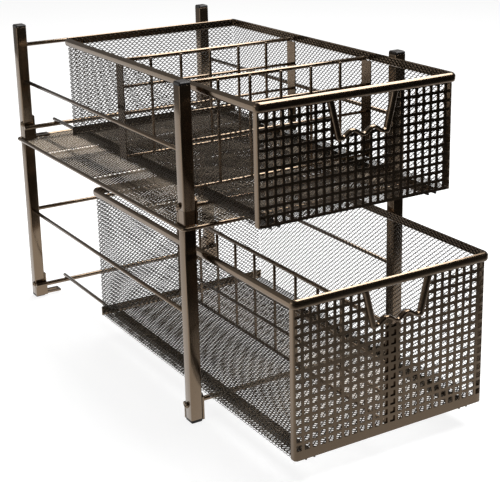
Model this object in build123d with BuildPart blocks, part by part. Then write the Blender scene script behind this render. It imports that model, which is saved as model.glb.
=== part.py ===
"""Two-tier pull out cabinet basket.

A frame of eight square posts carries two mesh drawers on runner wires, with
a mesh shelf between the tiers. The upper drawer holds two cross dividers and
the lower drawer holds one lengthwise divider, and all three slide.
Millimetres, +Z up, drawers open towards -Y, left is -X.
"""
import os

from build123d import *

os.makedirs("parts", exist_ok=True)

# ---------------------------------------------------------------- sizes
# Frame
frame_width = 248.0
frame_depth = 400.0
frame_height = 328.0
tier_rise = 194.0  # from the lower tier's base to the upper tier's base
post_size = 12.0
post_wall = 1.0
post_corner = 1.0  # flat across each corner
foot_flange = 3.0
foot_bevel = 1.0
cap_flange = 3.0
plug_length = 9.0
plug_clearance = 0.1
joint_below = 2.0  # stack connector block, below and above the tier's base
joint_above = 16.0

# Wires of the frame
wire_sides = 8  # each wire is drawn with this many flats
bar_diameter = 5.0
bar_height = 15.5  # centre above the tier's base
runner_diameter = 4.0
runner_inset = 21.3  # from the drawer's side to the runner's centre
runner_overhang = 5.5  # past the bars' centres
guard_diameter = 4.0
lower_guard_height = 107.4
upper_guard_height = 69.7
rod_diameter = 4.5
lower_rod_height = 108.4
upper_rod_height = 110.4

# Corner brackets and their screws
bracket_sheet = 2.0
bracket_lift = 2.0
bracket_height = 26.0
bracket_chamfer = 3.0
tab_reach = 18.0
tab_width = 12.0
slot_length = 12.0
slot_width = 4.5
slot_inset = 11.0  # from the post's inner face to the slot's centre
screw_head = 6.0
screw_head_height = 2.4
screw_shank = 3.0
screw_hole_clearance = 0.1
screw_sides = 8
lower_screw_height = 16.4
upper_screw_height = 19.5
screw_inset = 9.0  # from the frame's end to the screw's centre

# Shelf on the lower tier
shelf_wire = 4.0
shelf_sheet = 1.0
cross_wire = 3.0
cross_wire_spacing = 120.0
shelf_corner_gap = 0.3

# Drawers
drawer_side_clearance = 3.7  # to the brackets
front_overhang = 4.0  # of the closed drawer past the frame's front
lower_drawer_opened = 145.0
upper_drawer_opened = 94.0
drawer_back_clearance = 1.75
lower_rim_drop = 24.2  # below the upper tier's base
upper_rim_drop = 3.2  # below the frame's top
rim_height = 8.4
rim_wall = 3.0
rim_corner = 6.0
rim_round = 1.2  # flat across the rim's outer edges
wall_drop = 1.0  # the walls end this far below the rim's top
wall_clearance = 0.3  # under the walls, over the runner wires
floor_height = 23.6
mesh_sheet = 1.0

# Glides
glide_width = 10.0
glide_wall = 1.4
glide_clearance = 0.15
glide_inset = 7.0  # from the drawer's ends

# Perforated fronts
front_return = 7.0
front_sheet = 1.2
front_pitch = 8.25
front_hole = 5.6
first_row = 12.2  # the first row's centre below the rim's top

# Handle cut-out
handle_top_width = 69.0
handle_bottom_width = 52.0
handle_drop = 34.0
handle_bump = 6.5
handle_bump_spacing = 22.0
trim_width = 4.5
trim_lip = 1.2

# Expanded mesh
mesh_border = 4.0
mesh_pitch = 24.0
mesh_strand = 1.6
strand_gap = 0.06

# Rear strip
strip_height = 10.0
strip_sheet = 1.0

# Dividers
divider_clearance = 0.3
divider_wire = 3.0
divider_top_wire = 4.0
end_strip_width = 15.0
end_strip_sheet = 1.0
upper_front_divider = 131.0  # from the drawer's front to the divider
upper_rear_divider = 266.0
upper_divider_pitch = 34.0
upper_divider_rows = (71.0, 98.0)
upper_divider_drop = 5.8  # from the rim's top to the top wire's centre
lower_divider_offset = 0.0
lower_divider_first = 47.0  # from the drawer's front to the first upright
lower_divider_pitch = 38.4
lower_divider_rows = (53.0, 83.5)
lower_divider_top = 121.5

# ------------------------------------------------------- derived places
# The origin lies under the middle of the whole object, drawers as they rest.
half_width = frame_width / 2
half_depth = frame_depth / 2
drawer_width = frame_width - 2 * (post_size + bracket_sheet + drawer_side_clearance)
closed_back = half_depth - post_size / 2 - rod_diameter / 2 - drawer_back_clearance
closed_front = -half_depth - front_overhang
drawer_depth = closed_back - closed_front
lower_rim_top = tier_rise - lower_rim_drop
upper_rim_top = frame_height - upper_rim_drop - tier_rise
upper_divider_top = upper_rim_top - upper_divider_drop
most_forward = closed_front - max(lower_drawer_opened, upper_drawer_opened)
frame_y = -(most_forward + half_depth + shelf_wire) / 2
post_x = half_width - post_size / 2
front_y = frame_y - half_depth
rear_y = frame_y + half_depth
inner_x = half_width - post_size
front_inner_y = front_y + post_size
rear_inner_y = rear_y - post_size
bore = post_size - 2 * post_wall
plug = bore - 2 * plug_clearance
shank_radius = screw_shank / 2
screw_hole_radius = shank_radius + screw_hole_clearance
tiers = (
    ("lower", 0.0, lower_screw_height),
    ("upper", tier_rise, upper_screw_height),
)
sides = (("left", -1), ("right", 1))
ends = (("front", -1), ("rear", 1))


def wire_section(diameter):
    """Section of a wire in the sketch at hand, its flats square to the axes."""
    RegularPolygon(diameter / 2, wire_sides, major_radius=False, rotation=180 / wire_sides)


# ---------------------------------------------------------------- posts
# Square tube, plugged at both ends, drilled through both X walls.
for tier, base, screw_height in tiers:
    post_low = foot_flange if tier == "lower" else tier_rise + joint_above
    post_high = tier_rise - joint_below if tier == "lower" else frame_height - cap_flange
    for end, sy in ends:
        screw_y = frame_y + sy * (half_depth - screw_inset)
        for side, sx in sides:
            with BuildPart() as post:
                with BuildSketch(Plane.XY.offset(post_low)) as tube:
                    with Locations((sx * post_x, frame_y + sy * (half_depth - post_size / 2))):
                        Rectangle(post_size, post_size)
                        chamfer(tube.vertices(), post_corner)
                        Rectangle(bore, bore, mode=Mode.SUBTRACT)
                extrude(amount=post_high - post_low)
                with BuildSketch(Plane.YZ):
                    with Locations((screw_y, base + screw_height)):
                        RegularPolygon(screw_hole_radius, screw_sides, major_radius=False)
                extrude(amount=sx * frame_width, mode=Mode.SUBTRACT)
            post.part.label = f"{tier}_post_{end}_{side}"
            export_step(post.part, f"parts/{tier}_post_{end}_{side}.step")

# ---------------------------------------------- feet, connectors and caps
post_places = [
    (sx * post_x, frame_y + sy * (half_depth - post_size / 2)) for sx in (-1, 1) for sy in (-1, 1)
]

with BuildPart() as base_feet:
    with BuildSketch(Plane.XY) as blocks:
        with Locations(*post_places):
            Rectangle(post_size, post_size)
        chamfer(blocks.vertices(), post_corner)
    extrude(amount=foot_flange)
    chamfer(base_feet.edges().group_by(Axis.Z)[0], foot_bevel)
    with BuildSketch(Plane.XY.offset(foot_flange)):
        with Locations(*post_places):
            Rectangle(plug, plug)
    extrude(amount=plug_length)
base_feet.part.label = "base_feet"
export_step(base_feet.part, "parts/base_feet.step")

with BuildPart() as stack_connectors:
    with BuildSketch(Plane.XY.offset(tier_rise - joint_below)) as blocks:
        with Locations(*post_places):
            Rectangle(post_size, post_size)
        chamfer(blocks.vertices(), post_corner)
    extrude(amount=joint_below + joint_above)
    with BuildSketch(Plane.XY.offset(tier_rise - joint_below - plug_length)):
        with Locations(*post_places):
            Rectangle(plug, plug)
    extrude(amount=joint_below + joint_above + 2 * plug_length)
    with BuildSketch(Plane.YZ.offset(-frame_width)):
        with Locations(
            (front_y + screw_inset, tier_rise + upper_screw_height),
            (rear_y - screw_inset, tier_rise + upper_screw_height),
        ):
            RegularPolygon(screw_hole_radius, screw_sides, major_radius=False)
    extrude(amount=2 * frame_width, mode=Mode.SUBTRACT)
stack_connectors.part.label = "stack_connectors"
export_step(stack_connectors.part, "parts/stack_connectors.step")

with BuildPart() as top_caps:
    with BuildSketch(Plane.XY.offset(frame_height - cap_flange)) as blocks:
        with Locations(*post_places):
            Rectangle(post_size, post_size)
        chamfer(blocks.vertices(), post_corner)
    extrude(amount=cap_flange)
    chamfer(top_caps.edges().group_by(Axis.Z)[-1], foot_bevel)
    with BuildSketch(Plane.XY.offset(frame_height - cap_flange - plug_length)):
        with Locations(*post_places):
            Rectangle(plug, plug)
    extrude(amount=plug_length)
top_caps.part.label = "top_caps"
export_step(top_caps.part, "parts/top_caps.step")

# ----------------------------------------- base bars, runners, guards, rods
bar_inset = post_size + bar_diameter / 2
runner_rise = bar_height + bar_diameter / 2 + runner_diameter / 2
runner_x = drawer_width / 2 - runner_inset
runner_length = 2 * (half_depth - bar_inset + runner_overhang)
guard_heights = {"lower": lower_guard_height, "upper": upper_guard_height}
rod_heights = {"lower": lower_rod_height, "upper": upper_rod_height}

for tier, base, screw_height in tiers:
    # Base bars lie against the posts' inner faces, as wide as the frame.
    for end, sy in ends:
        with BuildPart() as base_bar:
            with BuildSketch(Plane.YZ.offset(-half_width)):
                with Locations((frame_y + sy * (half_depth - bar_inset), base + bar_height)):
                    wire_section(bar_diameter)
            extrude(amount=frame_width)
        base_bar.part.label = f"{tier}_base_bar_{end}"
        export_step(base_bar.part, f"parts/{tier}_base_bar_{end}.step")

    # Runner wires lie on the bars, and guard wires join the posts' middles.
    for side, sx in sides:
        with BuildPart() as runner:
            with BuildSketch(Plane.XZ.offset(-frame_y - runner_length / 2)):
                with Locations((sx * runner_x, base + runner_rise)):
                    wire_section(runner_diameter)
            extrude(amount=runner_length)
        runner.part.label = f"{tier}_runner_{side}"
        export_step(runner.part, f"parts/{tier}_runner_{side}.step")

        with BuildPart() as guard:
            with BuildSketch(Plane.XZ.offset(-rear_inner_y)):
                with Locations((sx * post_x, base + guard_heights[tier])):
                    wire_section(guard_diameter)
            extrude(amount=rear_inner_y - front_inner_y)
        guard.part.label = f"{tier}_guard_{side}"
        export_step(guard.part, f"parts/{tier}_guard_{side}.step")

    # The rear rod stops the drawer.
    with BuildPart() as rear_rod:
        with BuildSketch(Plane.YZ.offset(-inner_x)):
            with Locations((rear_y - post_size / 2, base + rod_heights[tier])):
                wire_section(rod_diameter)
        extrude(amount=2 * inner_x)
    rear_rod.part.label = f"{tier}_rear_rod"
    export_step(rear_rod.part, f"parts/{tier}_rear_rod.step")

# ------------------------------------------------------ corner brackets
# One leg on the post's inner X face, one under the base bar, and on the rear
# pair a slotted tab turned inwards for a screw into the cabinet's floor.
bar_underside = bar_height - bar_diameter / 2
for tier, base, screw_height in tiers:
    for end, sy in ends:
        leg_end = frame_y + sy * half_depth
        leg_start = frame_y + sy * (half_depth - post_size)
        foot_end = leg_start - sy * bracket_sheet
        with BuildPart() as brackets:
            with BuildSketch(Plane.YZ.offset(inner_x - bracket_sheet)):
                with BuildLine():
                    Polyline(
                        (leg_start, base + bracket_lift),
                        (leg_end, base + bracket_lift),
                        (leg_end, base + bracket_lift + bracket_height - bracket_chamfer),
                        (leg_end - sy * bracket_chamfer, base + bracket_lift + bracket_height),
                        (leg_start, base + bracket_lift + bracket_height),
                        close=True,
                    )
                make_face()
                with Locations((leg_end - sy * screw_inset, base + screw_height)):
                    RegularPolygon(screw_hole_radius, screw_sides, major_radius=False, mode=Mode.SUBTRACT)
            extrude(amount=bracket_sheet)
            with BuildSketch(Plane.XZ.offset(-max(leg_start, foot_end))):
                with BuildLine():
                    Polyline(
                        (inner_x - bracket_sheet, base + bracket_lift),
                        (half_width, base + bracket_lift),
                        (half_width, base + bar_underside),
                        (inner_x - bracket_sheet, base + bar_underside),
                        close=True,
                    )
                make_face()
            extrude(amount=bracket_sheet)
            if end == "rear":
                with BuildSketch(Plane.XY.offset(base + bracket_lift)):
                    with Locations((inner_x - bracket_sheet - tab_reach / 2, leg_end - tab_width / 2)):
                        Rectangle(tab_reach, tab_width)
                    with Locations((inner_x - slot_inset, leg_end - tab_width / 2)):
                        SlotOverall(slot_length, slot_width, mode=Mode.SUBTRACT)
                extrude(amount=bracket_sheet)
            mirror(about=Plane.YZ)
        brackets.part.label = f"{tier}_{end}_brackets"
        export_step(brackets.part, f"parts/{tier}_{end}_brackets.step")

# Pan head screws, through both walls of the post into the bracket.
with BuildPart() as bracket_screws:
    screw_places = [
        (frame_y + sy * (half_depth - screw_inset), base + height)
        for tier, base, height in tiers
        for sy in (-1, 1)
    ]
    with BuildSketch(Plane.YZ.offset(half_width)):
        with Locations(*screw_places):
            RegularPolygon(screw_head / 2, 2 * screw_sides)
    extrude(amount=screw_head_height)
    chamfer(bracket_screws.edges().group_by(Axis.X)[-1], screw_head_height / 3)
    with BuildSketch(Plane.YZ.offset(inner_x - bracket_sheet)):
        with Locations(*screw_places):
            RegularPolygon(shank_radius, screw_sides, major_radius=False)
    extrude(amount=post_size + bracket_sheet)
    mirror(about=Plane.YZ)
bracket_screws.part.label = "bracket_screws"
export_step(bracket_screws.part, "parts/bracket_screws.step")


# --------------------------------------------------------- expanded mesh
def mesh_layers(plane, width, height, thickness):
    """Sketches of a mesh sheet on the plane, each with the depth it is drawn to.

    A plain border is as deep as the sheet. Inside it the strands of each
    direction keep to their own half of the depth.
    """
    open_width = width - 2 * mesh_border
    open_height = height - 2 * mesh_border
    with BuildSketch(plane) as border:
        Rectangle(width, height)
        Rectangle(open_width, open_height, mode=Mode.SUBTRACT)
    layers = [(border.sketch, thickness)]
    layer = (thickness - strand_gap) / 2
    count = int((open_width + open_height) / mesh_pitch)
    for angle, level in ((45, 0.0), (-45, thickness - layer)):
        with BuildSketch(plane.offset(level)) as strands:
            with Locations(*[((n - (count - 1) / 2) * mesh_pitch, 0) for n in range(count)]):
                Rectangle(mesh_strand, 2 * (open_width + open_height), rotation=angle)
            Rectangle(open_width + mesh_border, open_height + mesh_border, mode=Mode.INTERSECT)
        layers.append((strands.sketch, layer))
    return layers


# ----------------------------------------------------------------- shelf
ring_z = tier_rise + shelf_wire / 2 - joint_below + 0.2
ring_bend = post_corner + shelf_wire / 2
with BuildSketch(Plane.XY.offset(ring_z)) as ring_outline:
    with Locations((0, frame_y)):
        RectangleRounded(frame_width + shelf_wire, frame_depth + shelf_wire, ring_bend)
ring_path = ring_outline.sketch.face().outer_wire()
with BuildPart() as shelf_ring:
    with BuildSketch(Plane(origin=ring_path @ 0, z_dir=ring_path % 0)):
        wire_section(shelf_wire)
    sweep(path=ring_path)
shelf_ring.part.label = "shelf_ring"
export_step(shelf_ring.part, "parts/shelf_ring.step")

shelf_bottom = ring_z - shelf_sheet / 2
with BuildPart() as shelf_mesh:
    shelf_plane = Plane((0, frame_y, shelf_bottom))
    for outline, depth in mesh_layers(shelf_plane, frame_width, frame_depth, shelf_sheet):
        extrude(outline, amount=depth)
    with BuildSketch(Plane.XY.offset(shelf_bottom)):
        with Locations(*post_places):
            notch = post_size + 2 * shelf_corner_gap
            Rectangle(notch, notch)
    extrude(amount=shelf_sheet, mode=Mode.SUBTRACT)
shelf_mesh.part.label = "shelf_mesh"
export_step(shelf_mesh.part, "parts/shelf_mesh.step")

with BuildPart() as shelf_cross_wires:
    with BuildSketch(Plane.YZ.offset(-half_width)):
        with Locations(*[(frame_y + n * cross_wire_spacing, shelf_bottom - cross_wire / 2) for n in (-1, 0, 1)]):
            wire_section(cross_wire)
    extrude(amount=frame_width)
shelf_cross_wires.part.label = "shelf_cross_wires"
export_step(shelf_cross_wires.part, "parts/shelf_cross_wires.step")

# --------------------------------------------------------------- drawers
def handle_outline(plane, top, margin):
    """Sketch of the handle cut-out under a level, grown by a margin at its sides and foot."""
    foot = top - handle_drop - margin
    half_top = handle_top_width / 2 + margin
    half_foot = handle_bottom_width / 2 + margin
    crest = handle_bump_spacing / 2
    with BuildSketch(plane) as outline:
        with BuildLine():
            Polyline(
                (-handle_bump_spacing, foot), (-half_foot, foot), (-half_top, top),
                (half_top, top), (half_foot, foot), (handle_bump_spacing, foot),
            )
            Spline(
                (handle_bump_spacing, foot), (crest, foot + handle_bump), (0, foot),
                (-crest, foot + handle_bump), (-handle_bump_spacing, foot),
                tangents=[(-1, 0)] * 5,
            )
        make_face()
    return outline.sketch


outer_x = drawer_width / 2
wall_x = outer_x - rim_wall
inside_x = wall_x - mesh_sheet
runner_top = runner_rise + runner_diameter / 2
for tier, base, screw_height in tiers:
    opened = lower_drawer_opened if tier == "lower" else upper_drawer_opened
    rim_top = base + (lower_rim_top if tier == "lower" else upper_rim_top)
    drawer_front = frame_y + closed_front - opened
    drawer_back = drawer_front + drawer_depth
    drawer_middle = (drawer_front + drawer_back) / 2
    wall_top = rim_top - wall_drop
    wall_bottom = base + runner_top + wall_clearance
    panel_front = drawer_front + rim_wall

    # Rim: a rounded band round the whole drawer.
    with BuildPart() as rim:
        with BuildSketch(Plane.XY.offset(rim_top - rim_height)):
            with Locations((0, drawer_middle)):
                RectangleRounded(drawer_width, drawer_depth, rim_corner)
        extrude(amount=rim_height)
        chamfer(rim.edges().group_by(Axis.Z)[0] + rim.edges().group_by(Axis.Z)[-1], rim_round)
        with BuildSketch(Plane.XY.offset(rim_top - rim_height)):
            with Locations((0, drawer_middle)):
                RectangleRounded(
                    drawer_width - 2 * rim_wall, drawer_depth - 2 * rim_wall, rim_corner - rim_wall
                )
        extrude(amount=rim_height, mode=Mode.SUBTRACT)
    rim.part.label = f"{tier}_drawer_rim"
    export_step(rim.part, f"parts/{tier}_drawer_rim.step")

    # Front: a perforated sheet, its ends turned back round the corners.
    web = front_pitch - front_hole
    field_top = rim_top - first_row + front_hole / 2
    columns = int((2 * wall_x + web) / front_pitch)
    rows = int((field_top - wall_bottom + web) / front_pitch)
    field_width = columns * front_pitch - web
    field_height = rows * front_pitch - web
    field_middle = field_top - field_height / 2
    layer = (front_sheet - strand_gap) / 2
    cut_top = rim_top - rim_height
    opening_back = handle_outline(Plane.XZ.offset(-panel_front - front_sheet), cut_top, 0)
    trim_seat = handle_outline(Plane.XZ.offset(-panel_front - front_sheet), cut_top, trim_width)
    with BuildPart() as front_panel:
        with BuildSketch(Plane.XY.offset(wall_bottom)):
            with Locations((0, panel_front + front_return)):
                RectangleRounded(2 * wall_x, 2 * front_return, rim_corner - rim_wall)
                RectangleRounded(
                    2 * (wall_x - front_sheet), 2 * (front_return - front_sheet), rim_corner - rim_wall - front_sheet,
                    mode=Mode.SUBTRACT,
                )
            with Locations((0, panel_front + 2 * front_return)):
                Rectangle(2 * outer_x, 2 * front_return, mode=Mode.SUBTRACT)
        extrude(amount=wall_top - wall_bottom)
        with BuildSketch(Plane.XZ.offset(-panel_front - front_sheet)):
            with Locations((0, field_middle)):
                Rectangle(field_width, field_height)
        extrude(amount=front_sheet, mode=Mode.SUBTRACT)
        # Upright webs fill the outer half of the sheet, level webs the inner.
        with BuildSketch(Plane.XZ.offset(-panel_front - layer)):
            with Locations((0, field_middle)):
                with GridLocations(front_pitch, 0, columns - 1, 1):
                    Rectangle(web, field_height)
        extrude(amount=layer)
        with BuildSketch(Plane.XZ.offset(-panel_front - front_sheet)):
            with Locations((0, field_middle)):
                with GridLocations(0, front_pitch, 1, rows - 1):
                    Rectangle(field_width, web)
        extrude(amount=layer)
        # Handle cut-out, with the trim's seat left solid round it.
        extrude(trim_seat, amount=front_sheet)
        extrude(opening_back, amount=front_sheet, mode=Mode.SUBTRACT)
    front_panel.part.label = f"{tier}_drawer_front"
    export_step(front_panel.part, f"parts/{tier}_drawer_front.step")

    # Trim: the rolled lip that stands round the handle cut-out.
    with BuildPart() as handle_trim:
        trim_plane = Plane.XZ.offset(-panel_front)
        extrude(handle_outline(trim_plane, cut_top, trim_width), amount=trim_lip)
        extrude(handle_outline(trim_plane, cut_top, 0), amount=trim_lip, mode=Mode.SUBTRACT)
    handle_trim.part.label = f"{tier}_drawer_handle_trim"
    export_step(handle_trim.part, f"parts/{tier}_drawer_handle_trim.step")

    # Side walls, between the front's returns and the back wall.
    side_front = panel_front + front_return
    side_back = drawer_back - rim_wall
    side_length = side_back - side_front
    wall_height = wall_top - wall_bottom
    wall_middle = (wall_top + wall_bottom) / 2
    with BuildSketch(Plane.XY.offset(wall_bottom)) as wall_plan:
        with Locations((0, drawer_middle)):
            RectangleRounded(2 * wall_x, drawer_depth - 2 * rim_wall, rim_corner - rim_wall)
    for side, sx in sides:
        face = sx * wall_x if sx < 0 else wall_x - mesh_sheet
        with BuildPart() as side_mesh:
            side_plane = Plane(
                (face, (side_front + side_back) / 2, wall_middle), x_dir=(0, 1, 0), z_dir=(1, 0, 0)
            )
            for outline, depth in mesh_layers(side_plane, side_length, wall_height, mesh_sheet):
                extrude(outline, amount=depth)
            extrude(wall_plan.sketch, amount=wall_height, mode=Mode.INTERSECT)
        side_mesh.part.label = f"{tier}_drawer_{side}_mesh"
        export_step(side_mesh.part, f"parts/{tier}_drawer_{side}_mesh.step")

    # Back wall and floor, inside the side walls.
    with BuildPart() as back_mesh:
        back_plane = Plane((0, side_back, wall_middle), x_dir=(1, 0, 0), z_dir=(0, -1, 0))
        for outline, depth in mesh_layers(back_plane, 2 * inside_x, wall_height, mesh_sheet):
            extrude(outline, amount=depth)
        extrude(wall_plan.sketch, amount=wall_height, mode=Mode.INTERSECT)
    back_mesh.part.label = f"{tier}_drawer_back_mesh"
    export_step(back_mesh.part, f"parts/{tier}_drawer_back_mesh.step")

    floor_front = panel_front + front_sheet
    floor_back = side_back - mesh_sheet
    with BuildPart() as floor_mesh:
        floor_plane = Plane((0, (floor_front + floor_back) / 2, base + floor_height))
        floor_width = 2 * (wall_x - front_sheet)
        for outline, depth in mesh_layers(floor_plane, floor_width, floor_back - floor_front, mesh_sheet):
            extrude(outline, amount=depth)
        with BuildSketch(floor_plane):
            RectangleRounded(floor_width, floor_back - floor_front, rim_corner - rim_wall - front_sheet)
        extrude(amount=mesh_sheet, mode=Mode.INTERSECT)
    floor_mesh.part.label = f"{tier}_drawer_floor_mesh"
    export_step(floor_mesh.part, f"parts/{tier}_drawer_floor_mesh.step")

    # Rear strip: a plain band that stiffens the foot of the back wall.
    with BuildPart() as rear_strip:
        with BuildSketch(Plane.XY.offset(wall_bottom)):
            with Locations((0, side_back + strip_sheet / 2)):
                Rectangle(2 * wall_x, strip_sheet)
        extrude(amount=strip_height)
    rear_strip.part.label = f"{tier}_drawer_rear_strip"
    export_step(rear_strip.part, f"parts/{tier}_drawer_rear_strip.step")

    # Glides: channels under the floor that straddle the runner wires.
    glide_top = base + floor_height
    groove_top = base + runner_top + glide_clearance
    glide_bottom = base + runner_rise - 1.4
    glide_start = drawer_front + glide_inset
    glide_length = drawer_depth - 2 * glide_inset
    for side, sx in sides:
        with BuildPart() as glide:
            with BuildSketch(Plane.XZ.offset(-glide_start - glide_length)):
                with Locations((sx * runner_x, (glide_top + glide_bottom) / 2)):
                    Rectangle(glide_width, glide_top - glide_bottom)
                with Locations((sx * runner_x, (groove_top + glide_bottom) / 2)):
                    Rectangle(
                        glide_width - 2 * glide_wall, groove_top - glide_bottom, mode=Mode.SUBTRACT
                    )
            extrude(amount=glide_length)
        glide.part.label = f"{tier}_drawer_glide_{side}"
        export_step(glide.part, f"parts/{tier}_drawer_glide_{side}.step")

# -------------------------------------------------------- upper dividers
upper_front_y = frame_y + closed_front - upper_drawer_opened
divider_floor = tier_rise + floor_height + mesh_sheet + divider_clearance
strip_top = tier_rise + upper_rim_top - rim_height
divider_x = inside_x - divider_clearance
for name, offset_y in (("front", upper_front_divider), ("rear", upper_rear_divider)):
    divider_y = upper_front_y + offset_y
    half_span = divider_x - end_strip_sheet
    foot_z = divider_floor + divider_wire / 2
    uprights = int(half_span / upper_divider_pitch)
    upright_y = divider_y - divider_wire  # welded to the level wires' front
    with BuildPart() as grid:
        with BuildSketch(Plane.YZ.offset(-half_span)):
            with Locations((divider_y, foot_z), *[(divider_y, tier_rise + row) for row in upper_divider_rows]):
                wire_section(divider_wire)
            with Locations((divider_y, tier_rise + upper_divider_top)):
                wire_section(divider_top_wire)
        extrude(amount=2 * half_span)
        with BuildSketch(Plane.XY.offset(foot_z)):
            with Locations(*[(n * upper_divider_pitch, upright_y) for n in range(-uprights, uprights + 1)]):
                wire_section(divider_wire)
        extrude(amount=tier_rise + upper_divider_top - foot_z)
    grid.part.label = f"upper_{name}_divider_grid"
    export_step(grid.part, f"parts/upper_{name}_divider_grid.step")

    with BuildPart() as end_strips:
        with BuildSketch(Plane.XY.offset(divider_floor)):
            with Locations(
                (-divider_x + end_strip_sheet / 2, divider_y), (divider_x - end_strip_sheet / 2, divider_y)
            ):
                Rectangle(end_strip_sheet, end_strip_width)
        extrude(amount=strip_top - divider_floor)
    end_strips.part.label = f"upper_{name}_divider_ends"
    export_step(end_strips.part, f"parts/upper_{name}_divider_ends.step")

# --------------------------------------------------------- lower divider
lower_front_y = frame_y + closed_front - lower_drawer_opened
lower_inside_front = lower_front_y + rim_wall + front_sheet + divider_clearance
lower_inside_back = lower_front_y + drawer_depth - rim_wall - mesh_sheet - divider_clearance
lower_floor = floor_height + mesh_sheet + divider_clearance
grid_front = lower_inside_front + end_strip_sheet
grid_back = lower_inside_back - end_strip_sheet
lower_foot_z = lower_floor + divider_wire / 2
first_upright = lower_front_y + lower_divider_first
upright_count = int((grid_back - first_upright) / lower_divider_pitch) + 1
upright_x = lower_divider_offset + divider_wire
with BuildPart() as lower_grid:
    with BuildSketch(Plane.XZ.offset(-grid_back)):
        with Locations(
            (lower_divider_offset, lower_foot_z), *[(lower_divider_offset, row) for row in lower_divider_rows]
        ):
            wire_section(divider_wire)
        with Locations((lower_divider_offset, lower_divider_top)):
            wire_section(divider_top_wire)
    extrude(amount=grid_back - grid_front)
    with BuildSketch(Plane.XY.offset(lower_foot_z)):
        with Locations(*[(upright_x, first_upright + n * lower_divider_pitch) for n in range(upright_count)]):
            wire_section(divider_wire)
    extrude(amount=lower_divider_top - lower_foot_z)
lower_grid.part.label = "lower_divider_grid"
export_step(lower_grid.part, "parts/lower_divider_grid.step")

with BuildPart() as lower_end_strips:
    with BuildSketch(Plane.XY.offset(lower_floor)):
        with Locations(
            (lower_divider_offset, lower_inside_front + end_strip_sheet / 2),
            (lower_divider_offset, lower_inside_back - end_strip_sheet / 2),
        ):
            Rectangle(end_strip_width, end_strip_sheet)
    extrude(amount=lower_divider_top + divider_top_wire / 2 - lower_floor)
lower_end_strips.part.label = "lower_divider_ends"
export_step(lower_end_strips.part, "parts/lower_divider_ends.step")
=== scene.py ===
"""Finish and lighting of a two-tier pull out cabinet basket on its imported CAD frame."""

import bpy
import numpy as np
from mathutils import Matrix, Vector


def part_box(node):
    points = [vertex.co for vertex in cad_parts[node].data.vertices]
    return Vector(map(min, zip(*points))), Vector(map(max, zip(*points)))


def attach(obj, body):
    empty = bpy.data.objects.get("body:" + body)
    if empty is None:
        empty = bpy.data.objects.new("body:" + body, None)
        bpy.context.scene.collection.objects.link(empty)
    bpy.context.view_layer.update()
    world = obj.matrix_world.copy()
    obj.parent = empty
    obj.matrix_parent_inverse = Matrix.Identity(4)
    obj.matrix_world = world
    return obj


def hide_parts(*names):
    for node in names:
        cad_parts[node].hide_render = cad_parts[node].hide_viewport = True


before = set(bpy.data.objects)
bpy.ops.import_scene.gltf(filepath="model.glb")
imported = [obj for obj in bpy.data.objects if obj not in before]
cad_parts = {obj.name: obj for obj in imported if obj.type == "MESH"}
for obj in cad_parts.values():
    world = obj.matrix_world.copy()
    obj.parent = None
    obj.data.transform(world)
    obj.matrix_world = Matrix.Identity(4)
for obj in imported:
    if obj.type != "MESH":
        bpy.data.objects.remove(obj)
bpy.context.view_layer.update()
scene = bpy.context.scene

# ------------------------------------------------------------------ camera
# The photograph was taken with a long lens from the front left and a little
# above, with the picture's centre below the lens's axis.
eye = np.array((-0.61018, -1.05332, 0.54632))
aim = np.array((0.07065, 0.07683, 0.15087))
roll = -0.0211476
photo_width, photo_height = 500, 482
lens_px, axis_px = 1228.217, (251.98, 185.92)
sensor_mm = 36.0

forward = (aim - eye) / np.linalg.norm(aim - eye)
level_right = np.cross(forward, (0, 0, 1))
level_right /= np.linalg.norm(level_right)
level_up = np.cross(level_right, forward)
right = level_right * np.cos(roll) + level_up * np.sin(roll)
up = level_up * np.cos(roll) - level_right * np.sin(roll)
stance = np.eye(4)
stance[:3] = np.stack((right, up, -forward, eye), axis=1)

camera = bpy.data.objects.new("camera", bpy.data.cameras.new("camera"))
scene.collection.objects.link(camera)
camera.data.sensor_fit = "HORIZONTAL"
camera.data.sensor_width = sensor_mm
camera.data.lens = sensor_mm * lens_px / photo_width
camera.data.shift_x = (photo_width / 2 - axis_px[0]) / photo_width
camera.data.shift_y = -(photo_height / 2 - axis_px[1]) / photo_width
camera.data.clip_start = 0.05
camera.matrix_world = Matrix(stance.tolist())
scene.camera = camera
scene.view_settings.view_transform = "Standard"


# ------------------------------------------------------------------- posts
# Eight square steel tubes with small rolled corners stand in two tiers. They
# have a baked bronze powder coat, glossy, with a faint orange peel, and its
# tone wanders a little from place to place.
class Value:
    """A socket of a node tree. Operators on it add Math nodes."""

    def __init__(self, nodes, socket):
        self.nodes = nodes
        self.socket = socket

    def maths(self, operation, other):
        """A Math node on this value and on another value or number."""
        return self.nodes.node("ShaderNodeMath", {"operation": operation}, {0: self, 1: other})

    def __add__(self, other):
        return self.maths("ADD", other)

    def __mul__(self, other):
        return self.maths("MULTIPLY", other)

    __radd__ = __add__
    __rmul__ = __mul__


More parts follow.
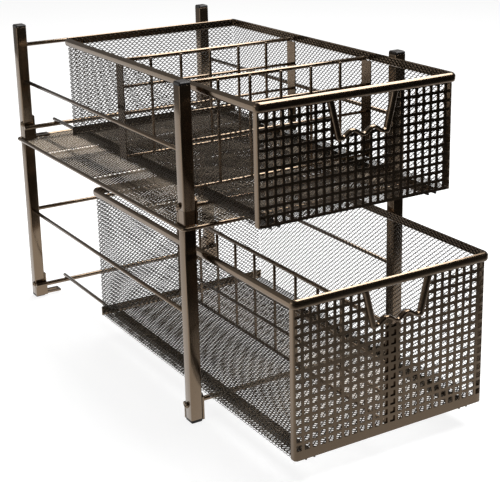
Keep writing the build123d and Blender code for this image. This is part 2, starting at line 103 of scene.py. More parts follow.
class Nodes:
    """A node tree that is built node by node."""

    def __init__(self, tree):
        self.tree = tree

    def node(self, kind, settings, sockets, out=0):
        """Adds a node, gives it its settings and then its sockets' values or links."""
        made = self.tree.nodes.new(kind)
        for key, setting in settings.items():
            setattr(made, key, setting)
        self.fill(made, sockets)
        return Value(self, made.outputs[out])

    def fill(self, made, sockets):
        """Gives a node's sockets their values or links."""
        for key, value in sockets.items():
            if isinstance(value, Value):
                self.tree.links.new(value.socket, made.inputs[key])
            else:
                made.inputs[key].default_value = value

    def place(self):
        """The point's object coordinates, in metres."""
        return self.node("ShaderNodeTexCoord", {}, {}, out="Object")

    def ray(self, kind):
        """1 for rays of a kind, such as those from the camera, and 0 for others."""
        return self.node("ShaderNodeLightPath", {}, {}, out=f"Is {kind} Ray")

    def noise(self, scale, detail=2.0):
        """Soft noise about 0.5, with so many waves to the metre."""
        sockets = {"Vector": self.place(), "Scale": scale, "Detail": detail}
        return self.node("ShaderNodeTexNoise", {}, sockets)

    def part(self, vector, axis):
        """One of a vector's three parts, by its number."""
        return self.node("ShaderNodeSeparateXYZ", {}, {0: vector}, out=axis)

    def band(self, value, low, high):
        """0 below low, 1 above high and smooth between them."""
        sockets = {"Value": value, "From Min": low, "From Max": high}
        return self.node("ShaderNodeMapRange", {"interpolation_type": "SMOOTHSTEP"}, sockets)

    def blend(self, factor, first, second):
        """The first colour at a factor of 0 and the second at 1."""
        sockets = {0: factor, 6: first, 7: second}
        return self.node("ShaderNodeMix", {"data_type": "RGBA"}, sockets, out=2)

    def bump(self, height, distance, strength=1.0):
        """A normal tilted by the slope of a height."""
        sockets = {"Height": height, "Distance": distance, "Strength": strength}
        return self.node("ShaderNodeBump", {}, sockets)


class Finish(Nodes):
    """A material with one Principled surface."""

    def __init__(self, name):
        self.material = bpy.data.materials.new(name)
        self.material.use_nodes = True
        super().__init__(self.material.node_tree)

    def finish(self, sockets):
        """The material, with the sockets of its surface filled."""
        self.fill(self.tree.nodes["Principled BSDF"], sockets)
        return self.material


def powder_coat(name, dark, light, metal, rough, coat_weight):
    """Bronze powder coat.

    Its base is a slow noise's tone between dark and light. Small flecks blend
    in a brighter light, and the roughness swings about its mean with the tone
    and rises on flecks. Fine noise makes the orange peel.
    """
    tone_size, fleck_size, peel_size = 9.0, 2600.0, 700.0
    tone_swing, fleck_swing = 0.12, 0.08
    fleck_share, fleck_gain = 0.35, 1.6
    coat = Finish(name)
    tone = coat.noise(tone_size, 3.0)
    fleck = coat.band(coat.noise(fleck_size, 1.0), 0.60, 0.74)
    peel = coat.noise(peel_size, 1.0)
    base = coat.blend(tone, dark, light)
    bright = tuple(fleck_gain * c for c in light[:3]) + (1,)
    return coat.finish(
        {
            "Base Color": coat.blend(fleck * fleck_share, base, bright),
            "Metallic": metal,
            "Roughness": tone * tone_swing + fleck * fleck_swing + (rough - tone_swing / 2),
            "Coat Weight": coat_weight,
            "Coat Roughness": 0.10,
            "Normal": coat.bump(peel, 0.00002, 0.6),
        }
    )


def shell(name, points, faces, material, body, slot, *nodes):
    """A mesh object of points in metres and faces, on a body, in place of CAD nodes."""
    data = bpy.data.meshes.new(name)
    data.from_pydata(points.reshape(-1, 3).tolist(), [], faces)
    data.materials.append(material)
    data.update()
    made = bpy.data.objects.new(name, data)
    scene.collection.objects.link(made)
    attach(made, body)
    if nodes:
        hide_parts(*nodes)
    return made


def smooth_sides(made, degrees=35):
    """Shades a piece smoothly, except over edges sharper than the angle."""
    made.data.shade_smooth()
    made.data.set_sharp_from_angle(angle=np.radians(degrees))
    return made


def rolled_corners(width, height, radius, steps):
    """A rectangle's outline with quarter-circle corners, counterclockwise.

    Each corner is an arc about its centre, (width / 2 - radius, height / 2 -
    radius) from the middle, turned by a quarter for the next one.
    """
    turn = np.radians(np.linspace(0, 90, steps + 1))
    quarter = np.radians(90) * np.arange(4)[:, None]
    reach = (width / 2 - radius, height / 2 - radius)
    centre = np.array(((1, 1), (-1, 1), (-1, -1), (1, -1))) * reach
    arc = np.stack((np.cos(turn + quarter), np.sin(turn + quarter)), -1) * radius
    return (centre[:, None, :] + arc).reshape(-1, 2)


def run_faces(runs, rings, corners, closed=False):
    """Quads of runs of so many rings of so many corners, and their end caps if they are open."""
    last = rings if closed else rings - 1
    counts = (np.arange(runs), np.arange(last), np.arange(corners))
    run, ring, corner = np.meshgrid(*counts, indexing="ij")
    follower = (corner + 1) % corners
    here = (run * rings + ring) * corners
    there = (run * rings + (ring + 1) % rings) * corners
    quads = np.stack((here + corner, here + follower, there + follower, there + corner), -1)
    quads = quads.reshape(-1, 4).tolist()
    if closed:
        return quads
    first = np.arange(runs)[:, None] * rings * corners
    starts = first + np.arange(corners)[None, ::-1]
    stops = first + (rings - 1) * corners + np.arange(corners)[None, :]
    return quads + starts.tolist() + stops.tolist()


def run_points(path, section, facing, closed=False, width=1.0, height=1.0):
    """A section carried along a path.

    Each point of the section is path + side * x * width + facing * y * height,
    where side is square to the path's tangent and to the way it faces.
    """
    ahead = np.roll(path, -1, 0) - np.roll(path, 1, 0)
    if not closed:
        ahead[0], ahead[-1] = path[1] - path[0], path[-1] - path[-2]
    ahead /= np.linalg.norm(ahead, axis=1, keepdims=True)
    side = np.cross(np.array(facing, float), ahead)
    side /= np.linalg.norm(side, axis=1, keepdims=True)
    out = np.cross(ahead, side)
    wide = section[None, :, 0, None] * np.broadcast_to(width, len(path))[:, None, None]
    tall = section[None, :, 1, None] * np.broadcast_to(height, len(path))[:, None, None]
    return path[:, None, :] + side[:, None, :] * wide + out[:, None, :] * tall


straight_rings = 6


def straight(low, high, along, section, ease):
    """A section carried straight through a box, along one axis, with eased ends.

    The rings at the very ends are smaller by the ease, those a third of the
    ease further in by 0.35 of it, and those a whole ease in are full.
    """
    length = high[along] - low[along]
    stations = np.array((0, ease / 3, ease, length - ease, length - ease / 3, length))
    path = np.repeat((low + high)[None] / 2, straight_rings, 0)
    path[:, along] = low[along] + stations
    full = section.max(axis=0).min()
    scale = 1 - ease / full * np.array((1, 0.35, 0, 0, 0.35, 1))
    facing = (0, 1, 0) if along == 2 else (0, 0, 1)
    return run_points(path, section, facing, width=scale, height=scale)


def corners_of(node):
    """The low and high corners of a CAD node's box."""
    low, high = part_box(node)
    return np.array(low), np.array(high)


tiers = ("lower", "upper")
sides = ("left", "right")
ends = ("front", "rear")
bronze = powder_coat(
    "bronze_coat", dark=(0.172, 0.122, 0.079, 1), light=(0.232, 0.166, 0.108, 1),
    metal=0.95, rough=0.16, coat_weight=0.40,
)
post_corner, post_easing = 0.0012, 0.0003
for tier in tiers:
    for end in ends:
        for side in sides:
            node = f"{tier}_post_{end}_{side}"
            low, high = corners_of(node)
            tube = rolled_corners(high[0] - low[0], high[1] - low[1], post_corner, 5)
            points = straight(low, high, 2, tube, post_easing)
            faces = run_faces(1, straight_rings, len(tube))
            smooth_sides(
                shell(f"{node}_tube", points, faces, bronze, "frame", "bronze_coat", node)
            )


# ------------------------------------------------ feet, connectors and caps
# Moulded plastic plugs close the tubes at the floor and on top, nearly black
# with the fine grain of a spark-eroded mould. Those between the tiers show
# only a collar, coated like the posts.
def dress(material, *names):
    """Gives CAD nodes one material in every slot."""
    for name in names:
        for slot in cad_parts[name].material_slots:
            slot.material = material


plastic = Finish("black_plastic")
mould_grain = plastic.noise(1400.0, 2.0)
scuff = plastic.band(plastic.noise(60.0, 3.0), 0.55, 0.75)
mould_black, mould_grey = (0.010, 0.008, 0.007, 1), (0.022, 0.018, 0.016, 1)
moulded = plastic.finish(
    {
        "Base Color": plastic.blend(mould_grain, mould_black, mould_grey),
        "Roughness": mould_grain * 0.15 + scuff * 0.1 + 0.33,
        "Specular IOR Level": 0.3,
        "Normal": plastic.bump(mould_grain, 0.00003),
    }
)
dress(moulded, "base_feet", "top_caps")
dress(bronze, "stack_connectors")

# -------------------------------------- base bars, runners, guards and rods
# Drawn steel wire, cut to length with the burr taken off its ends, resistance
# welded where it crosses and coated with the posts.
wire_easing = 0.0004
round_sides = 20
turn = np.radians(np.arange(round_sides) * 360 / round_sides)
round_section = np.stack((np.cos(turn), np.sin(turn)), -1)
weld_bead = (0.0024, 0.0028, 0.0007)


def wire(name, low, high, along, body, *nodes):
    """A round wire that fills a box along one axis."""
    across = (along + 1) % 3
    radius = (high[across] - low[across]) / 2
    points = straight(low, high, along, round_section * radius, wire_easing)
    faces = run_faces(1, straight_rings, round_sides)
    return smooth_sides(shell(name, points, faces, bronze, body, "bronze_coat", *nodes))


def weld(name, place, half_sizes, body):
    """A bead where two wires cross: an ellipsoid with its three half sizes.

    Its points are (cos(rise) cos(spin), cos(rise) sin(spin), sin(rise)), and
    flat caps close it next to its poles.
    """
    rings, corners = 7, 12
    rise = np.radians(np.linspace(-86, 86, rings))[:, None]
    spin = np.radians(np.arange(corners) * 360 / corners)[None, :]
    ball = (np.cos(rise) * np.cos(spin), np.cos(rise) * np.sin(spin), np.sin(rise))
    ball = np.stack(np.broadcast_arrays(*ball), -1)
    points = ball * np.array(half_sizes) + np.array(place)
    faces = run_faces(1, rings, corners)
    return smooth_sides(shell(name, points, faces, bronze, body, "bronze_coat"), 80)


for tier in tiers:
    for end in ends:
        node = f"{tier}_base_bar_{end}"
        wire(f"{node}_wire", *corners_of(node), 0, "frame", node)
    node = f"{tier}_rear_rod"
    wire(f"{node}_wire", *corners_of(node), 0, "frame", node)
    for side in sides:
        node = f"{tier}_runner_{side}"
        low, high = corners_of(node)
        wire(f"{node}_wire", low, high, 1, "frame", node)
        for end in ends:
            bar_low, bar_high = corners_of(f"{tier}_base_bar_{end}")
            crossing = ((low[0] + high[0]) / 2, (bar_low[1] + bar_high[1]) / 2, bar_high[2])
            weld(f"{tier}_runner_weld_{end}_{side}", crossing, weld_bead, "frame")
        node = f"{tier}_guard_{side}"
        wire(f"{node}_wire", *corners_of(node), 1, "frame", node)

# ---------------------------------------------------- brackets and screws
# Pressed steel angles hold the base bars to the posts. Each takes one pan
# head screw with a cross recess, coated like the rest.
head_radius, head_height = 0.003, 0.0024
shank_radius, shank_reach = 0.0015, 0.014
recess_depth, recess_half, recess_reach = 0.0011, 0.16, 0.62
screw_inset = 0.009
screw_rise = {"lower": 0.0144, "upper": 0.0175}
head_rings, head_corners = 16, 40


def pan_head(hand, face, y, z):
    """A dome with a cross recess on a shank, whose flat side stands at x = face.

    With r from 0 to 1 across the head, the dome rises over the face by
    head_height * (1 - 0.75 * r ** 3), less the recess where the point is near
    either arm of a cross. A hand of -1 mirrors the screw to the left side.
    """
    reach = np.linspace(0.02, 1, head_rings)[:, None]
    spin = np.radians(np.arange(head_corners) * 360 / head_corners)[None, :]
    arm = np.minimum(np.abs(reach * np.cos(spin)), np.abs(reach * np.sin(spin)))
    in_arm = np.clip((recess_half - arm) / 0.06, 0, 1)
    in_cross = in_arm * np.clip((recess_reach - reach) / 0.08, 0, 1)
    dome = head_height * (1 - 0.75 * reach**3) - recess_depth * in_cross

    def circle(x, radius):
        return np.stack((x + 0 * spin, y + radius * np.cos(spin), z + radius * np.sin(spin)), -1)

    points = np.concatenate(
        (
            circle(face + dome, head_radius * reach),
            circle(face, head_radius),
            circle(face, shank_radius),
            circle(face - shank_reach, shank_radius),
        )
    )
    points = points if hand > 0 else (points * (-1, 1, 1))[:, ::-1]
    return points[::-1]


dress(bronze, *[f"{t}_{e}_brackets" for t in tiers for e in ends])
screw_face = corners_of("bracket_screws")[1][0] - head_height
screw_points = []
for tier in tiers:
    for end in ends:
        low, high = corners_of(f"{tier}_{end}_brackets")
        y = low[1] + screw_inset if end == "front" else high[1] - screw_inset
        z = low[2] + screw_rise[tier]
        screw_points += [pan_head(hand, screw_face, y, z) for hand in (-1, 1)]
screws = shell(
    "cross_head_screws", np.concatenate(screw_points),
    run_faces(len(screw_points), head_rings + 3, head_corners),
    bronze, "frame", "screw_steel", "bracket_screws",
)
smooth_sides(screws)

# ------------------------------------------------------------------- shelf
# The shelf between the tiers is steel sheet that was slit and stretched into
# small diamonds. It is welded to a wire that runs round the outside of the
# posts, and lies over three cross wires, where it lifts in low ridges.
# The mesh's coat is a darker copy of the posts' bronze with less clear coat. Its darker colour is
# painted shade on the thin strands.
mesh_coat = powder_coat(
    "mesh_coat", dark=(0.085, 0.067, 0.048, 1), light=(0.125, 0.102, 0.077, 1),
    metal=0.92, rough=0.22, coat_weight=0.10,
)
diamond_long, diamond_short = 0.0056, 0.0046
strand_width, strand_depth = 0.0010, 0.0004
strand_lean = np.radians(38)
strand_rise = 0.00022
strand_overlap = 0.38
ring_corner = 0.003
ridge_rise, ridge_reach = 0.0010, 0.0022


def flat(corner, along, across, lift=None):
    """A plane: u runs along it, v across it and n out of it, raised by lift(v)."""
    corner, along, across = (np.array(v, float) for v in (corner, along, across))
    out = np.cross(along, across)

    def place(u, v, n):
        rise = n if lift is None else n + lift(v)
        points = corner + u[..., None] * along + v[..., None] * across + rise[..., None] * out
        return points, across, out

    return place


def folded(corner, length, radius):
    """A floor that turns up into a back wall.

    u runs along X. v runs along Y for the length, round a quarter circle about
    a centre that stands a radius over the floor, and then up.
    """

    def place(u, v, n):
        angle = np.clip((v - length) / radius, 0, np.pi / 2)
        climb = np.maximum(v - length - radius * np.pi / 2, 0)
        back = np.minimum(v, length) + (radius - n) * np.sin(angle)
        rise = radius - (radius - n) * np.cos(angle) + climb
        none = 0 * angle
        across = np.stack((none, np.cos(angle), np.sin(angle)), -1)
        out = np.stack((none, -np.sin(angle), np.cos(angle)), -1)
        return np.array(corner) + np.stack((u, back, rise), -1), across, out

    return place


def expanded_mesh(name, place, length, height, lean, body, *nodes):
    """Zigzag strands side by side on a surface.

    Strand j runs along the sheet and swings between height j and j + 1 half
    diamonds, turning at every half diamond of length, opposite to its
    neighbours, so that they meet and overlap a little at the turns. Its
    section is a flat bar that leans about the strand's own line, and it swings
    out of the plane as it rises, as stretched strands do.
    """
    turns = int(round(length / (diamond_long / 2)))
    strands = int(round(height / (diamond_short / 2)))
    step, rise = length / turns, height / strands
    j, i = np.meshgrid(np.arange(strands), np.arange(turns + 1), indexing="ij")
    crest = (i + j) % 2
    inward = strand_width * strand_overlap
    u = i * step
    v = (j + crest) * rise + np.where(crest == 1, -inward, inward)
    n = np.where(crest == 1, strand_rise, -strand_rise)
    line, across, out = place(u, v, n)
    wide = (across * np.cos(lean) + out * np.sin(lean)) * strand_width / 2
    thick = (out * np.cos(lean) - across * np.sin(lean)) * strand_depth / 2
    corners = (-wide - thick, wide - thick, wide + thick, thick - wide)
    section = np.stack([np.broadcast_to(corner, line.shape) for corner in corners], 2)
    points = line[:, :, None, :] + section
    faces = run_faces(strands, turns + 1, len(corners))
    return shell(name, points, faces, mesh_coat, body, "mesh_coat", *nodes)


def ring_run(name, plan, section, low, high, material, body, slot, node):
    """A section carried round a closed plan, halfway up and in the middle of a box."""
    middle = (low + high) / 2
    path = np.c_[plan + middle[:2], np.full(len(plan), middle[2])]
    points = run_points(path, section, (0, 0, 1), closed=True)
    faces = run_faces(1, len(path), len(section), closed=True)
    return smooth_sides(shell(name, points, faces, material, body, slot, node))


low, high = corners_of("shelf_ring")
edge_wire = high[2] - low[2]
plan = rolled_corners(high[0] - low[0] - edge_wire, high[1] - low[1] - edge_wire, ring_corner, 8)
ring_run(
    "shelf_edge_wire", plan, round_section * edge_wire / 2, low, high,
    bronze, "frame", "bronze_coat", "shelf_ring",
)

shelf_low, shelf_high = corners_of("shelf_mesh")
cross_low, cross_high = corners_of("shelf_cross_wires")
cross_radius = (cross_high[2] - cross_low[2]) / 2
cross_places = np.linspace(cross_low[1] + cross_radius, cross_high[1] - cross_radius, 3)


def ridges(v):
    """Low ridges over the cross wires, each a bell curve of the distance to its wire."""
    away = [(v + shelf_low[1] - y) / ridge_reach for y in cross_places]
    return sum(ridge_rise * np.exp(-(a**2)) for a in away)


shelf_corner = (shelf_low[0], shelf_low[1], (shelf_low[2] + shelf_high[2]) / 2)
shelf_length, shelf_depth = (shelf_high - shelf_low)[:2]
expanded_mesh(
    "shelf_expanded_mesh", flat(shelf_corner, (1, 0, 0), (0, 1, 0), ridges),
    shelf_length, shelf_depth, strand_lean, "frame", "shelf_mesh",
)
cross_points = [
    straight(
        np.array((cross_low[0], y - cross_radius, cross_low[2])),
        np.array((cross_high[0], y + cross_radius, cross_high[2])),
        0, round_section * cross_radius, wire_easing,
    )
    for y in cross_places
]
cross_wires = shell(
    "shelf_wires", np.concatenate(cross_points),
    run_faces(len(cross_points), straight_rings, round_sides),
    bronze, "frame", "bronze_coat", "shelf_cross_wires",
)
smooth_sides(cross_wires)

# ------------------------------------------------------- perforated fronts
# Each front is steel sheet punched with rows of square holes, its ends turned
# back round the corners. A handle is cut from its top edge, and the cut is
# wrapped in a thick rolled lip with two waves along its foot.
front_pitch, front_hole, hole_corner = 0.00825, 0.0056, 0.0007
front_columns = 25
first_row_drop = 0.0122
front_sheet = 0.0012
bend_radius = 0.003
handle_top, handle_foot, handle_drop, handle_aside = 0.069, 0.052, 0.034, 0.0035
wave_length, wave_rise = 0.022, 0.0050
punch_before, punch_behind, punch_above = 0.002, 0.004, 0.03
lip_width, lip_depth, lip_rounding = 0.0060, 0.0060, 0.0024
lip_inward = 0.0004
foot_narrowing, foot_easing, narrowing_steps = 0.62, 0.003, 11
foot_steps, side_steps, softening_steps = 180, 49, 7


def handle_line(top, margin):
    """The handle's outline in the front's plane, from its left top to its right top.

    Slanting sides meet a foot whose middle is two waves, rise * (1 - cos(2 pi
    x / length)) / 2. A running mean rounds the corners, and the margin moves
    the line square to itself, away from the opening.
    """
    foot = top - handle_drop
    x = np.linspace(-handle_foot / 2, handle_foot / 2, foot_steps + 1)
    swell = wave_rise * (1 - np.cos(2 * np.pi * x / wave_length)) / 2
    wave = np.where(np.abs(x) < wave_length, swell, 0)
    climb = np.linspace(0, 1, side_steps + 1)[1:]
    side_x = handle_foot / 2 + (handle_top - handle_foot) / 2 * climb
    side_z = foot + handle_drop * climb
    x = np.concatenate((-side_x[::-1], x, side_x))
    z = np.concatenate((side_z[::-1], foot + wave, side_z))
    soft = np.hanning(softening_steps + 2)[1:-1]
    soft /= soft.sum()
    beyond = softening_steps // 2
    padded = [np.pad(v, beyond, mode="reflect", reflect_type="odd") for v in (x, z)]
    line = np.stack([np.convolve(v, soft, "valid") for v in padded], -1) + (handle_aside, 0)
    ahead = np.gradient(line, axis=0)
    ahead /= np.linalg.norm(ahead, axis=1, keepdims=True)
    return line + margin * np.stack((ahead[:, 1], -ahead[:, 0]), -1)


def quarter_turns(points):
    """Points about a middle, and again turned by one, two and three quarters."""
    turned = [np.array(points)]
    for _ in range(3):
        turned.append(np.stack((-turned[-1][:, 1], turned[-1][:, 0]), -1))
    return np.concatenate(turned)


def punched_plan(low, high, field, rows):
    """A flat sheet with a field of square holes, as points and quads.

    Round each hole stands a ring of twelve quads, from the hole's edge with its
    cut corners to the edge of a square cell. The sheet outside the field is cut
    along every line that a cell's quads end on, so that both share their
    corners. Equal points are merged.
    """
    (low_s, low_z), (high_s, high_z), (field_s, field_z) = low, high, field
    cell, hole = front_pitch / 2, front_hole / 2
    side = hole - hole_corner
    marks = np.array((0, cell - side, cell + side))
    cells_s = (field_s + front_pitch * np.arange(front_columns)[:, None] + marks).ravel()
    cells_z = (field_z + front_pitch * np.arange(rows)[:, None] + marks).ravel()
    last_s, last_z = field_s + front_columns * front_pitch, field_z + rows * front_pitch
    bend = np.linspace(0, 1, 8)
    left_s, right_s = low_s + (field_s - low_s) * bend[:-1], last_s + (high_s - last_s) * bend
    lines_s = np.concatenate((left_s, cells_s, right_s))
    lines_z = np.concatenate(([low_z], cells_z, [last_z, high_z]))
    counts = (np.arange(len(lines_s) - 1), np.arange(len(lines_z) - 1))
    s, z = np.meshgrid(*counts, indexing="ij")
    mid_s = (lines_s[s] + lines_s[s + 1]) / 2
    mid_z = (lines_z[z] + lines_z[z + 1]) / 2
    plain = (mid_s < field_s) | (mid_s > last_s) | (mid_z < field_z) | (mid_z > last_z)
    s, z = s[plain], z[plain]
    steps = ((0, 0), (1, 0), (1, 1), (0, 1))
    border = np.stack([np.stack((lines_s[s + a], lines_z[z + b]), -1) for a, b in steps], 1)

    cut = hole - hole_corner * (1 - np.sqrt(0.5))
    outside = quarter_turns(((side, -cell), (cell, -cell), (cell, -side)))
    inside = quarter_turns(((side, -hole), (cut, -cut), (hole, -side)))
    quad = np.stack((outside, np.roll(outside, -1, 0), np.roll(inside, -1, 0), inside), 1)
    i, j = np.meshgrid(np.arange(front_columns), np.arange(rows), indexing="ij")
    middle = np.stack((field_s + i * front_pitch, field_z + j * front_pitch), -1) + cell
    cells = (middle.reshape(-1, 1, 1, 2) + quad[None]).reshape(-1, 4, 2)
    corners = np.concatenate((border, cells)).reshape(-1, 2)
    points, index = np.unique(np.round(corners, 7), axis=0, return_inverse=True)
    return points, index.reshape(-1, 4)


def bent_back(face, half):
    """A front's surface: flat for half its width, an arc about each end, then straight back.

    s runs round the corners, z up, and the depth goes in from the skin at y =
    face. Past the flat part the point turns by the angle (|s| - half) / radius.
    """

    def surface(s, z, depth):
        past = np.abs(s) - half
        angle = np.clip(past / bend_radius, 0, np.pi / 2)
        beyond = np.maximum(past - bend_radius * np.pi / 2, 0)
        x = np.minimum(np.abs(s), half) + (bend_radius - depth) * np.sin(angle)
        y = bend_radius - (bend_radius - depth) * np.cos(angle) + beyond
        return np.stack((np.sign(s) * x, face + y, z), -1)

    return surface


def thickened(points, quads, surface):
    """Two skins of a flat plan on a bent surface, walled at every edge that has one quad."""
    front = surface(points[:, 0], points[:, 1], 0.0)
    back = surface(points[:, 0], points[:, 1], front_sheet)
    edges = np.stack((quads, np.roll(quads, -1, 1)), -1).reshape(-1, 2)
    count = len(points)
    forward_key = edges[:, 0] * count + edges[:, 1]
    reverse_key = edges[:, 1] * count + edges[:, 0]
    rim = edges[~np.isin(forward_key, reverse_key)]
    walls = np.stack((rim[:, 1], rim[:, 0], rim[:, 0] + count, rim[:, 1] + count), -1)
    faces = np.concatenate((quads, quads[:, ::-1] + count, walls))
    return np.concatenate((front, back)), faces.tolist()


def cut_away(made, line, front, back):
    """Cuts the handle from a front with a prism of its outline, from one depth to another."""
    (left, left_top), (right, right_top) = line[0], line[-1]
    above = [(right, right_top + punch_above), (left, left_top + punch_above)]
    outline = np.concatenate((line, above))
    count = len(outline)
    near = np.insert(outline, 1, front, axis=1)
    far = np.insert(outline, 1, back, axis=1)
    k = np.arange(count)
    walls = np.stack((k, k + count, (k + 1) % count + count, (k + 1) % count), -1).tolist()
    caps = [k.tolist(), (k[::-1] + count).tolist()]
    data = bpy.data.meshes.new("handle_punch")
    data.from_pydata(np.concatenate((near, far)).tolist(), [], walls + caps)
    punch = bpy.data.objects.new("handle_punch", data)
    scene.collection.objects.link(punch)
    step = made.modifiers.new("handle", "BOOLEAN")
    step.operation, step.solver, step.object = "DIFFERENCE", "EXACT", punch
    evaluated = made.evaluated_get(bpy.context.evaluated_depsgraph_get())
    cut = bpy.data.meshes.new_from_object(evaluated)
    made.modifiers.clear()
    made.data = cut
    bpy.data.objects.remove(punch)


for tier in tiers:
    body = f"{tier}_drawer"
    rim_low, rim_high = corners_of(f"{tier}_drawer_rim")
    low, high = corners_of(f"{tier}_drawer_front")
    face = low[1]
    flat_half = (high[0] - low[0]) / 2 - bend_radius
    return_half = flat_half + bend_radius * np.pi / 2 + high[1] - face - bend_radius
    first_row = rim_high[2] - first_row_drop
    rows = int((first_row - low[2]) / front_pitch + 0.5)
    field = (-front_columns * front_pitch / 2, first_row + front_pitch / 2 - rows * front_pitch)
    plan, quads = punched_plan((-return_half, low[2]), (return_half, high[2]), field, rows)
    points, faces = thickened(plan, quads, bent_back(face, flat_half))
    panel = shell(
        f"{tier}_punched_front", points, faces, bronze, body, "bronze_coat",
        f"{tier}_drawer_front",
    )
    cut_away(panel, handle_line(rim_low[2], 0), face - punch_before, face + punch_behind)
    smooth_sides(panel)

    line = handle_line(rim_low[2], -lip_inward)
    in_foot = np.abs(line[:, 0] - handle_aside) < handle_foot / 2 - foot_easing
    mean = np.ones(narrowing_steps) / narrowing_steps
    narrow = np.convolve(np.where(in_foot, foot_narrowing, 1.0), mean, "same")
    tail = narrowing_steps // 2 + 1
    narrow[:tail], narrow[-tail:] = narrow[tail], narrow[-tail - 1]
    lip_path = np.insert(line, 1, face + front_sheet / 2, axis=1)
    lip_section = rolled_corners(lip_width, lip_depth, lip_rounding, 6)
    lip = shell(
        f"{tier}_handle_lip", run_points(lip_path, lip_section, (0, -1, 0), width=narrow),
        run_faces(1, len(lip_path), len(lip_section)), bronze, body, "bronze_coat",
        f"{tier}_drawer_handle_trim",
    )
    smooth_sides(lip, 60)

# -------------------------------------------------------------------- rims
# A thick rolled band of the same steel runs round the top of each drawer. Its
# outer edge slopes back to the top and turns in under the foot.
rim_wall, rim_corner = 0.003, 0.006
brow_reach, brow_drop, brow_power = 0.0026, 0.0029, 1.45
heel_reach, heel_rise = 0.0018, 0.0032
rim_edge = 0.0004


def rim_section(height):
    """The band's section, outwards at negative x.

    The brow goes in by reach * (1 - sin(a) ** power) and down by drop * (1 -
    cos(a) ** power) as the angle a goes from 0 to 90 degrees, the heel is a
    quarter of an ellipse, and the inner side is flat with two small chamfers.
    """
    top, inner, outer = height / 2, rim_wall / 2, -rim_wall / 2
    angle = np.radians(np.linspace(0, 90, 11))
    brow_x = outer + brow_reach * (1 - np.sin(angle) ** brow_power)
    brow_z = top - brow_drop * (1 - np.cos(angle) ** brow_power)
    heel_x = outer + heel_reach * (1 - np.cos(angle))
    heel_z = heel_rise - top - heel_rise * np.sin(angle)
    near, flat_top = inner - rim_edge, top - rim_edge
    inside = np.array(((near, -top), (inner, -flat_top), (inner, flat_top), (near, top)))
    return np.concatenate((np.c_[brow_x, brow_z], np.c_[heel_x, heel_z], inside))


for tier in tiers:
    node = f"{tier}_drawer_rim"
    low, high = corners_of(node)
    width, depth, height = high - low
    plan = rolled_corners(width - rim_wall, depth - rim_wall, rim_corner - rim_wall / 2, 8)
    ring_run(
        f"{tier}_rolled_rim", plan, rim_section(height), low, high,
        bronze, f"{tier}_drawer", "bronze_coat", node,
    )

# --------------------------------------------------------- walls and floors
# Side walls, floor and back are expanded mesh under the rim, and the floor's
# sheet turns up into the foot of the back. Plastic glides clip under the
# floor, and a plain steel band stiffens the foot of the back.
fold = 0.0022
floor_lean = {"lower": strand_lean, "upper": -strand_lean}

for tier in tiers:
    body = f"{tier}_drawer"
    for side, hand in (("left", 1), ("right", -1)):
        node = f"{tier}_drawer_{side}_mesh"
        low, high = corners_of(node)
        start = ((low[0] + high[0]) / 2, high[1] if side == "left" else low[1], low[2])
        wall = flat(start, (0, -hand, 0), (0, 0, 1))
        length, height = (high - low)[1:]
        expanded_mesh(f"{tier}_{side}_wall", wall, length, height, hand * strand_lean, body, node)

    low, high = corners_of(f"{tier}_drawer_floor_mesh")
    back_low, back_high = corners_of(f"{tier}_drawer_back_mesh")
    width = high[0] - low[0]
    level = (low[2] + high[2]) / 2
    back_y = (back_low[1] + back_high[1]) / 2
    run = back_y - fold - low[1]
    sheet = folded((low[0], low[1], level), run, fold)
    expanded_mesh(
        f"{tier}_floor", sheet, width, run + fold * np.pi / 2, floor_lean[tier], body,
        f"{tier}_drawer_floor_mesh",
    )
    upstand = flat((low[0], back_y, level + fold), (1, 0, 0), (0, 0, 1))
    expanded_mesh(
        f"{tier}_back_wall", upstand, width, back_high[2] - level - fold, -strand_lean, body,
        f"{tier}_drawer_back_mesh",
    )
    dress(bronze, f"{tier}_drawer_rear_strip")
    dress(moulded, *[f"{tier}_drawer_glide_{s}" for s in sides])

# ---------------------------------------------------------------- dividers
# Round wires in a grid under a thicker top wire, welded to a plain steel
# strip at each end that stands against the drawer's wall.
grid_wire, top_wire = 0.003, 0.004
upright_aside = grid_wire * 0.9
base_bar_rise = 0.013
cross_rows, cross_pitch, cross_count = (0.071, 0.098), 0.034, 5
long_rows, long_pitch, long_count, long_first = (0.053, 0.0835), 0.0384, 9, 0.047


def divider(name, along, heights, uprights, hand):
    """Level wires at the foot, at the heights and on top, and uprights on one side of them."""
    low, high = corners_of(f"{name}_grid")
    across = 1 - along
    line = high[across] - top_wire / 2 if along == 0 else low[across] + top_wire / 2
    foot, top = low[2] + grid_wire / 2, high[2] - top_wire / 2
    parts = []
    for height, size in [(z, grid_wire) for z in (foot, *heights)] + [(top, top_wire)]:
        a, b = low.copy(), high.copy()
        a[across], b[across] = line - size / 2, line + size / 2
        a[2], b[2] = height - size / 2, height + size / 2
        parts.append(straight(a, b, along, round_section * size / 2, wire_easing))
    for spot in uprights:
        a, b = low.copy(), high.copy()
        beside = line + hand * upright_aside
        a[across], b[across] = beside - grid_wire / 2, beside + grid_wire / 2
        a[along], b[along] = spot - grid_wire / 2, spot + grid_wire / 2
        a[2], b[2] = foot, top
        parts.append(straight(a, b, 2, round_section * grid_wire / 2, wire_easing))
    made = shell(
        f"{name}_wires", np.concatenate(parts),
        run_faces(len(parts), straight_rings, round_sides), bronze, name, "bronze_coat",
        f"{name}_grid",
    )
    smooth_sides(made)
    dress(bronze, f"{name}_ends")


tier_base = corners_of("upper_base_bar_front")[0][2] - base_bar_rise
cross_heights = [tier_base + height for height in cross_rows]
cross_uprights = cross_pitch * (np.arange(cross_count) - cross_count // 2)
divider("upper_front_divider", 0, cross_heights, cross_uprights, -1)
divider("upper_rear_divider", 0, cross_heights, cross_uprights, -1)
long_start = corners_of("lower_drawer_rim")[0][1] + long_first
divider("lower_divider", 1, long_rows, long_start + long_pitch * np.arange(long_count), 1)
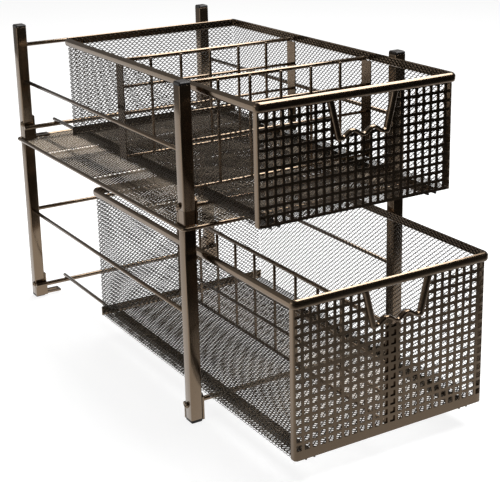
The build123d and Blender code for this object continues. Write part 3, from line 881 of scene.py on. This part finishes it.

# ------------------------------------------------------- floor and lighting
# White paper under the object, a broad soft box overhead whose light runs
# along the rims and wires, and another on the left. The room in front is dim,
# so that the fronts' gloss has something dark to show. In reflections only, the
# paper is painted nearly black and glows with a painted light that rises
# towards the back: a painted reflection of the room.
floor_reach, floor_front, floor_drop = 3.0, -0.95, 0.0002
dim_to, lit_from = -0.66, -0.02
# mirrored_grey is painted shade: the paper's colour as glossy rays see it, nearly black.
paper_grey, mirrored_grey = (0.34, 0.34, 0.34, 1), (0.02, 0.02, 0.02, 1)
floor_corners = (
    (-floor_reach, floor_front), (floor_reach, floor_front),
    (floor_reach, floor_reach), (-floor_reach, floor_reach),
)
floor_data = bpy.data.meshes.new("floor")
floor_data.from_pydata([(x, y, -floor_drop) for x, y in floor_corners], [], [(0, 1, 2, 3)])
ground = bpy.data.objects.new("floor", floor_data)
scene.collection.objects.link(ground)

paper = Finish("white_paper")
seen, mirrored = paper.ray("Camera"), paper.ray("Glossy")
# Painted reflection: for glossy rays the paper glows, dim at the front and brighter towards the
# back.
painted_reflection_glow = paper.band(paper.part(paper.place(), 1), dim_to, lit_from) * 0.95 + 0.010
floor_data.materials.append(
    paper.finish(
        {
            "Base Color": paper.blend(mirrored, paper_grey, mirrored_grey),
            "Roughness": 0.9,
            "Specular IOR Level": 0.0,
            "Emission Color": seen * 0.86 + mirrored * painted_reflection_glow,
            "Emission Strength": 1.0,
        }
    )
)

world = bpy.data.worlds.new("studio")
scene.world = world
world.use_nodes = True
sky = Nodes(world.node_tree)
way = sky.node("ShaderNodeTexCoord", {}, {}, out="Generated")
behind = sky.band(sky.part(way, 1), -0.25, 0.35)
on_the_left = sky.band(sky.part(way, 0) * -1.0, 0.2, 0.8)
glow = behind * 0.192 + on_the_left * 0.08 + 0.0096
room = sky.node("ShaderNodeBackground", {}, {"Color": glow, "Strength": 1.0})
backdrop = sky.node("ShaderNodeBackground", {}, {"Color": (1, 1, 1, 1), "Strength": 1.0})
both = sky.node("ShaderNodeMixShader", {}, {0: sky.ray("Camera"), 1: room, 2: backdrop})
sky.fill(sky.tree.nodes["World Output"], {"Surface": both})


def soft_box(name, place, turn, size, power):
    """A rectangular area lamp at place that faces down, turned about the Y axis."""
    lamp = bpy.data.lights.new(name, "AREA")
    lamp.shape = "RECTANGLE"
    lamp.size, lamp.size_y = size
    lamp.energy = power
    made = bpy.data.objects.new(name, lamp)
    made.location = place
    made.rotation_euler = (0, np.radians(turn), 0)
    scene.collection.objects.link(made)


soft_box("left_box", place=(-1.9, -0.1, 0.9), turn=-68, size=(1.2, 1.2), power=5.0)
soft_box("top_box", place=(0.6, 0.15, 1.5), turn=24, size=(1.0, 1.9), power=46.0)
